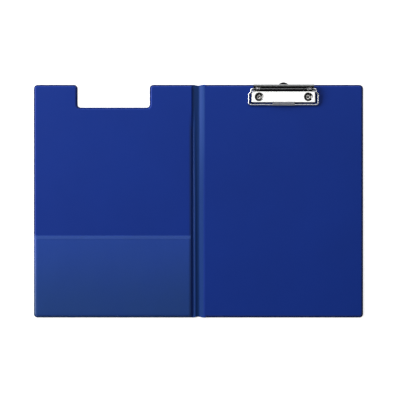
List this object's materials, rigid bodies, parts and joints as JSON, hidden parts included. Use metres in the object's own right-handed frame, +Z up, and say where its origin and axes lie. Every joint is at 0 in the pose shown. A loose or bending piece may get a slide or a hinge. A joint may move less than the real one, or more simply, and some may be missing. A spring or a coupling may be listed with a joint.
{
  "type": "clipboard folder",
  "caption": "A4 clipboard folder lying open: welded blue PVC boards and spine, notched cover with a clear pocket, sprung wire clip and pull-out hanger.",
  "frame": {"origin": "middle of the spine's length and width, on the plane that the open folder rests on", "axes": "+X from the cover to the back board, across the spine; +Y along the spine towards the clip; +Z up from the table"},
  "size_m": [0.45, 0.3211, 0.009],
  "materials": {
    "blue_pvc": "satin, fine calender grain",
    "greyboard": "raw",
    "clear_film": "clear, glossy",
    "nickel_plate": "bright nickel plating",
    "spring_steel": "drawn wire",
    "black_steel": "blackened, semi-gloss"
  },
  "bodies": {
    "back_panel": {"back_outer_skin": "blue_pvc", "back_board": "greyboard", "back_inner_skin": "blue_pvc", "clip_base": "nickel_plate", "rivet_left": "nickel_plate", "rivet_right": "nickel_plate", "spring_left": "spring_steel", "spring_right": "spring_steel"},
    "spine": {"board_fold_web": "blue_pvc", "spine_outer_skin": "blue_pvc", "spine_inner_skin": "blue_pvc", "cover_fold_web": "blue_pvc"},
    "cover": {"cover_outer_skin": "blue_pvc", "cover_board": "greyboard", "cover_inner_skin": "blue_pvc", "clear_pocket": "clear_film"},
    "bail": {"wire_bail": "nickel_plate", "finger_grip": "nickel_plate"},
    "hanger": {"hanger_tab": "black_steel"}
  },
  "joints": [
    {"name": "board_fold", "type": "hinge", "parent": "back_panel", "child": "spine", "pos_m": [0.0065, 0, 0.00035], "axis": [0, 1, 0], "range_deg": [-90, 90], "deforming": ["board_fold_web"]},
    {"name": "cover_fold", "type": "hinge", "parent": "spine", "child": "cover", "pos_m": [-0.0065, 0, 0.00035], "axis": [0, 1, 0], "range_deg": [-90, 90], "deforming": ["cover_fold_web"]},
    {"name": "bail_pivot", "type": "hinge", "parent": "back_panel", "child": "bail", "pos_m": [0.116, 0.1528, 0.0065], "axis": [-1, 0, 0], "range_deg": [0, 95], "stiffness_Nm_per_rad": 0.08, "springref_deg": -68.75, "deforming": ["spring_left", "spring_right"]},
    {"name": "hanger_slide", "type": "slide", "parent": "back_panel", "child": "hanger", "axis": [0, 1, 0], "range_m": [0, 0.0095]}
  ]
}
